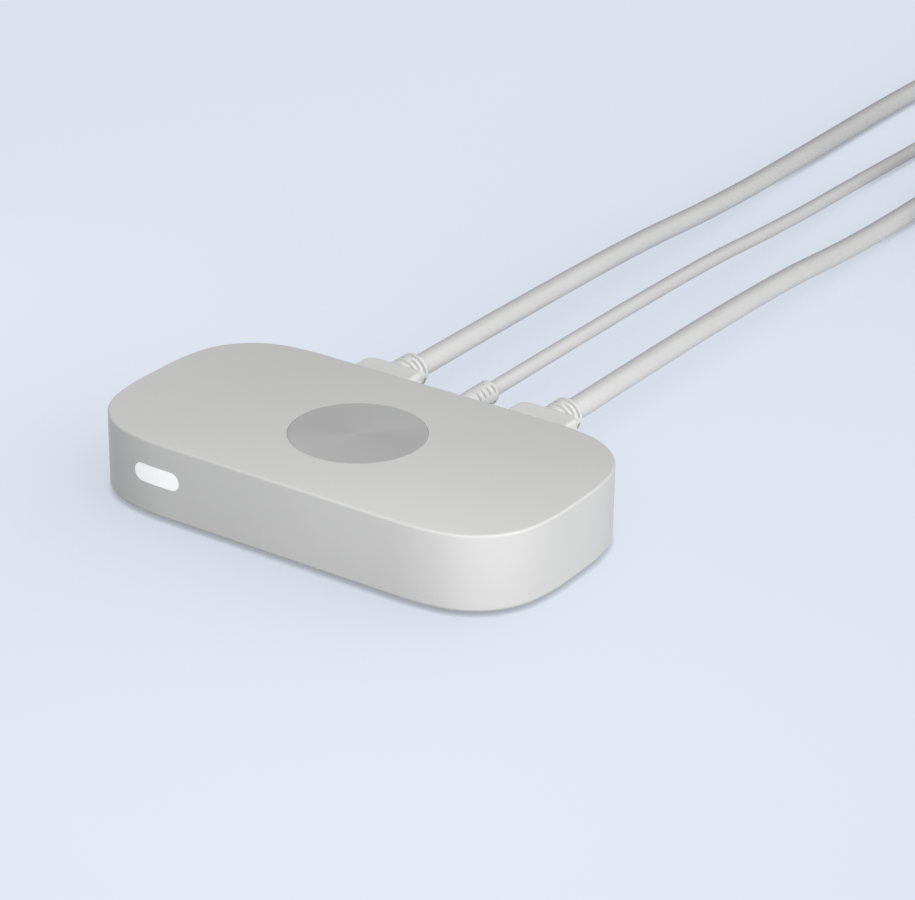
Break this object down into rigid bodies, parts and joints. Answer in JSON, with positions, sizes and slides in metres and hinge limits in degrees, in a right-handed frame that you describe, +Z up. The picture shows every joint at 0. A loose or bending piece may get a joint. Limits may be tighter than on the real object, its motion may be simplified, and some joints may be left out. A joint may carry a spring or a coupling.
{
  "type": "game capture device",
  "caption": "Low rounded video capture box with a lit status window, and video and data leads that plug in behind.",
  "frame": {"origin": "centre of the box's footprint, on the surface it stands on", "axes": "+X along the box's length to the right, +Y to the back where the leads plug in, +Z up"},
  "size_m": [0.1657, 0.4995, 0.0185],
  "materials": {
    "case_plastic": "satin pale grey moulding with a faint pearl",
    "base_plastic": "fine textured grey moulding",
    "foot_rubber": "matt soft rubber",
    "screw_steel": "plated steel",
    "inlay_metal": "spun satin aluminium",
    "light_window": "milky diffusing plastic, lit from behind",
    "guide_plastic": "clear moulded light guide",
    "led_plastic": "small lamp packages",
    "board_green": "solder mask on glass laminate",
    "chip_black": "moulded chip package",
    "inductor_grey": "pressed ferrite powder",
    "capacitor_tan": "fired ceramic",
    "can_metal": "plated can",
    "pad_grey": "soft heat pad",
    "spreader_aluminium": "milled aluminium",
    "connector_steel": "nickel plated sheet",
    "connector_black": "black insulator",
    "contact_gold": "gold flashed contacts",
    "plug_plastic": "soft pale moulding",
    "cord_jacket": "smooth pale jacket",
    "tie_fabric": "pale hook and loop strap"
  },
  "bodies": {
    "device": {"top_shell": "case_plastic", "base_plate": "base_plastic", "rubber_feet": "foot_rubber", "case_screws": "screw_steel", "lid_inlay": "inlay_metal", "status_light_lens": "light_window", "light_guide": "guide_plastic", "status_leds": "led_plastic", "main_board": "board_green", "board_screws": "screw_steel", "video_processor": "chip_black", "memory_chips": "chip_black", "signal_chips": "chip_black", "power_inductors": "inductor_grey", "capacitors": "capacitor_tan", "clock_crystal": "can_metal", "thermal_pads": "pad_grey", "heat_spreader": "spreader_aluminium", "video_in_socket_shell": "connector_steel", "video_in_socket_tongue": "connector_black", "video_in_socket_contacts": "contact_gold", "video_out_socket_shell": "connector_steel", "video_out_socket_tongue": "connector_black", "video_out_socket_contacts": "contact_gold", "data_socket_shell": "connector_steel", "data_socket_tongue": "connector_black"},
    "video_in_lead": {"video_in_plug_shell": "connector_steel", "video_in_plug_core": "connector_black", "video_in_plug_body": "plug_plastic", "video_in_strain_relief": "plug_plastic", "video_in_cord": "cord_jacket", "video_in_coil": "cord_jacket", "video_in_tie": "tie_fabric", "video_in_far_plug_shell": "connector_steel", "video_in_far_plug_core": "connector_black", "video_in_far_plug_body": "plug_plastic", "video_in_far_strain_relief": "plug_plastic"},
    "data_lead": {"data_plug_shell": "connector_steel", "data_plug_core": "connector_black", "data_plug_body": "plug_plastic", "data_strain_relief": "plug_plastic", "data_cord": "cord_jacket", "data_coil": "cord_jacket", "data_tie": "tie_fabric", "data_far_plug_shell": "connector_steel", "data_far_plug_core": "connector_black", "data_far_plug_body": "plug_plastic", "data_far_strain_relief": "plug_plastic"},
    "video_out_lead": {"video_out_plug_shell": "connector_steel", "video_out_plug_core": "connector_black", "video_out_plug_body": "plug_plastic", "video_out_strain_relief": "plug_plastic", "video_out_cord": "cord_jacket", "video_out_coil": "cord_jacket", "video_out_tie": "tie_fabric", "video_out_far_plug_shell": "connector_steel", "video_out_far_plug_core": "connector_black", "video_out_far_plug_body": "plug_plastic", "video_out_far_strain_relief": "plug_plastic"}
  },
  "joints": [
    {"name": "video_in_unplug", "type": "slide", "parent": "device", "child": "video_in_lead", "axis": [0, 1, 0], "range_m": [0, 0.0125]},
    {"name": "data_unplug", "type": "slide", "parent": "device", "child": "data_lead", "axis": [0, 1, 0], "range_m": [0, 0.008]},
    {"name": "video_out_unplug", "type": "slide", "parent": "device", "child": "video_out_lead", "axis": [0, 1, 0], "range_m": [0, 0.0125]}
  ]
}
